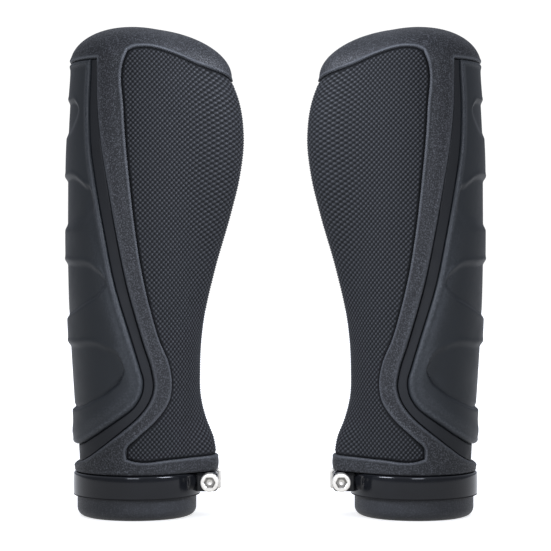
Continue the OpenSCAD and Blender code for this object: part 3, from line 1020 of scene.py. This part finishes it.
def finger_rubber():
    """Satin black rubber, with a painted highlight along its raised edge, broken up by grain."""
    n = Nodes("finger_rubber_satin")
    fine = n.noise(0.25, 2)
    mottle = n.noise(7, 4)
    base = n.blend(mottle, (0.003, 0.0042, 0.0052), (0.007, 0.0085, 0.0102))
    grainy = n.ramp(n.noise(0.5, 2, 0.6), [(0.4, 0.15), (0.65, 0.6)])
    # painted highlight: a lighter base along the raised edge, broken up by grain
    grainy_edge_highlight = n.math("MULTIPLY", n.attribute("edge_highlight"), grainy)
    base = n.blend(grainy_edge_highlight, base, (0.034, 0.037, 0.041))
    n.set(Base_Color=base, Roughness=n.ramp(mottle, [(0.3, 0.48), (0.7, 0.6)]))
    n.set(Specular_IOR_Level=0.22)
    n.set(Normal=n.bump(fine, 0.012, 0.5, n.bump(n.noise(3.2, 3), 0.06, 0.6)))
    return n.material


def under_rubber():
    """Smooth, nearly black rubber."""
    n = Nodes("under_rubber_smooth")
    mottle = n.noise(4, 3)
    base = n.blend(mottle, (0.0032, 0.0036, 0.0043), (0.0052, 0.0058, 0.0068))
    n.set(Base_Color=base, Roughness=n.ramp(mottle, [(0.3, 0.55), (0.7, 0.68)]))
    n.set(Specular_IOR_Level=0.18)
    n.set(Normal=n.bump(n.noise(0.2, 2), 0.01, 0.5))
    return n.material


def core_nylon():
    """Black moulded nylon with a fine grain."""
    n = Nodes("core_nylon_grained")
    grain = n.noise(0.3, 2, 0.6)
    mottle = n.noise(5, 3)
    base = n.blend(mottle, (0.005, 0.0056, 0.0067), (0.0075, 0.0083, 0.0099))
    base = n.blend(n.ramp(grain, [(0.5, 0.0), (0.66, 1.0)]), base, (0.018, 0.019, 0.022))
    n.set(Base_Color=base, Roughness=n.ramp(grain, [(0.3, 0.62), (0.7, 0.45)]))
    n.set(Specular_IOR_Level=0.25)
    n.set(Normal=n.bump(grain, 0.04, 0.8))
    return n.material


def ring_anodised():
    """Gloss black anodised aluminium, rough along its lower edge, where a painted shadow line turns the
    base near black.
    """
    n = Nodes("ring_black_anodised")
    turned = n.noise(0.12, 2, 0.5, (0.05, 0.05, 1))
    mottle = n.noise(3, 3)
    edge = n.attribute("rough_edge_and_painted_shadow")
    base = n.blend(mottle, (0.0028, 0.003, 0.0036), (0.0045, 0.0049, 0.0058))
    # painted shadow: the base goes near black along the lower edge
    base = n.blend(edge, base, (0.001, 0.001, 0.0012))
    rough = n.blend(edge, n.ramp(mottle, [(0.3, 0.1), (0.7, 0.14)]), (0.9, 0.9, 0.9))
    n.set(Base_Color=base, Roughness=rough, Specular_IOR_Level=0.21)
    n.set(Normal=n.bump(turned, 0.003, 0.4))
    return n.material


def steel(name, grey, rough):
    """Bright steel, with painted shade inside a socket: the base goes darker there."""
    n = Nodes(name)
    mottle = n.noise(0.5, 3)
    base = n.blend(mottle, tuple(0.85 * g for g in grey), grey)
    # painted shade: the base goes darker inside the socket
    base = n.blend(n.attribute("socket"), base, (0.26, 0.248, 0.222))
    n.set(Base_Color=base, Roughness=n.ramp(mottle, [(0.3, rough), (0.7, rough + 0.12)]))
    n.set(Metallic=0.85)
    n.set(Normal=n.bump(n.noise(0.08, 2), 0.004, 0.5))
    return n.material


# ---------------------------------------------------------------- scene

def soft_light(name, place, axis_x, power, grip):
    """A square softbox that lights one grip's objects only."""
    data = bpy.data.lights.new(name, "AREA")
    data.shape = "SQUARE"
    data.size = LIGHT_SIZE
    data.energy = power
    data.color = SKY_TINT
    light = bpy.data.objects.new(name, data)
    light.location = place
    direction = Vector((axis_x, 0, 0.07)) - Vector(place)
    light.rotation_euler = direction.to_track_quat("-Z", "Y").to_euler()
    bpy.context.scene.collection.objects.link(light)
    own = bpy.data.collections.new(name + "_grip")
    for obj in grip:
        own.objects.link(obj)
    light.light_linking.receiver_collection = own
    light.light_linking.blocker_collection = own


def camera():
    """A level camera in front of the palm faces."""
    data = bpy.data.cameras.new("camera")
    data.sensor_width = SENSOR_MM
    data.lens = SENSOR_MM * CAMERA_DISTANCE / VIEW_WIDTH
    obj = bpy.data.objects.new("camera", data)
    obj.location = (0, -CAMERA_DISTANCE, CAMERA_HEIGHT)
    obj.rotation_euler = (math.radians(90), 0, 0)
    bpy.context.scene.collection.objects.link(obj)
    bpy.context.scene.camera = obj


def surroundings():
    """Light that grows from the horizon to overhead, and a white backdrop."""
    scene = bpy.context.scene
    scene.view_settings.view_transform = "Standard"
    scene.world = bpy.data.worlds.new("studio")
    scene.world.use_nodes = True
    tree = scene.world.node_tree
    split = tree.nodes.new("ShaderNodeSeparateXYZ")
    tree.links.new(tree.nodes.new("ShaderNodeTexCoord").outputs["Generated"], split.inputs["Vector"])
    height = tree.nodes.new("ShaderNodeMapRange")
    height.inputs["To Min"].default_value = HORIZON
    height.inputs["To Max"].default_value = ZENITH
    tree.links.new(split.outputs["Z"], height.inputs["Value"])
    sky = tree.nodes["Background"]
    sky.inputs["Color"].default_value = (*SKY_TINT, 1)
    tree.links.new(height.outputs["Result"], sky.inputs["Strength"])
    backdrop = tree.nodes.new("ShaderNodeBackground")
    backdrop.inputs["Color"].default_value = (1, 1, 1, 1)
    backdrop.inputs["Strength"].default_value = BACKDROP
    seen = tree.nodes.new("ShaderNodeMixShader")
    tree.links.new(tree.nodes.new("ShaderNodeLightPath").outputs["Is Camera Ray"], seen.inputs["Fac"])
    tree.links.new(sky.outputs["Background"], seen.inputs[1])
    tree.links.new(backdrop.outputs["Background"], seen.inputs[2])
    tree.links.new(seen.outputs["Shader"], tree.nodes["World Output"].inputs["Surface"])


def paper_floor():
    """A wide pale floor that glows a little, so that shadows on it stay light."""
    size = FLOOR_SIZE
    mesh = bpy.data.meshes.new("floor")
    mesh.from_pydata(
        [(-size, -size, 0), (size, -size, 0), (size, size, 0), (-size, size, 0)], [], [(0, 1, 2, 3)]
    )
    floor = bpy.data.objects.new("floor", mesh)
    bpy.context.scene.collection.objects.link(floor)
    n = Nodes("floor_paper")
    n.set(Base_Color=n.blend(n.noise(40, 2), (0.78, 0.78, 0.78), (0.81, 0.81, 0.81)), Roughness=0.9)
    n.set(Emission_Color=(1.0, 1.0, 1.0), Emission_Strength=FLOOR_GLOW)
    mesh.materials.append(n.material)


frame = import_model()
mounts = {m["name"]: m["pos_m"] for m in frame["record"]["mounts"]}
AXIS_X = {"right": mounts["right_bar_bore"][0], "left": mounts["left_bar_bore"][0]}

camera()
surroundings()
paper_floor()

looks = {
    "frame": frame_rubber(), "palm": palm_rubber(), "finger": finger_rubber(),
    "under": under_rubber(), "core": core_nylon(), "ring": ring_anodised(),
    "screw": steel("screw_bright_steel", (0.62, 0.592, 0.53), 0.4),
    "nut": steel("nut_bright_steel", (0.53, 0.506, 0.452), 0.4),
}
shapes = {
    "frame": frame_shell(), "palm": palm_pad(), "finger": finger_pad(), "under": under_layer(),
    "ring": clamp_ring(), "nut": clamp_nut(),
}
for side, thread in (("right", 1), ("left", -1)):
    grip = f"{side}_grip"
    shapes["screw"] = clamp_screw(thread)
    for part, body, node, slot, sharp in (
        ("frame", grip, "frame_shell", "frame_rubber", 35),
        ("palm", grip, "palm_pad", "palm_rubber", 60),
        ("finger", grip, "finger_pad", "finger_rubber", 35),
        ("under", grip, "under_layer", "under_rubber", 35),
        ("ring", grip, "clamp_ring", "ring_anodised", 35),
        ("screw", f"{side}_screw", "clamp_screw", "screw_steel", 35),
        ("nut", f"{side}_nut", "clamp_nut", "nut_steel", 35),
    ):
        obj = make_object(f"{side}_{part}_skin", shapes[part], side)
        finish_object(obj, looks[part], body, f"{side}_{node}", sharp)
    sleeve = frame["nodes"][f"{side}_core_sleeve"]
    sleeve.data.materials.clear()
    sleeve.data.materials.append(looks["core"])

for side, sign in (("right", 1), ("left", -1)):
    own = [o for o in bpy.data.objects if o.name.startswith(f"{side}_") and o.type == "MESH"]
    for name, ((x, y, z), power) in GRIP_LIGHTS.items():
        soft_light(f"{side}_{name}_light", (AXIS_X[side] + sign * x, y, z), AXIS_X[side], power, own)
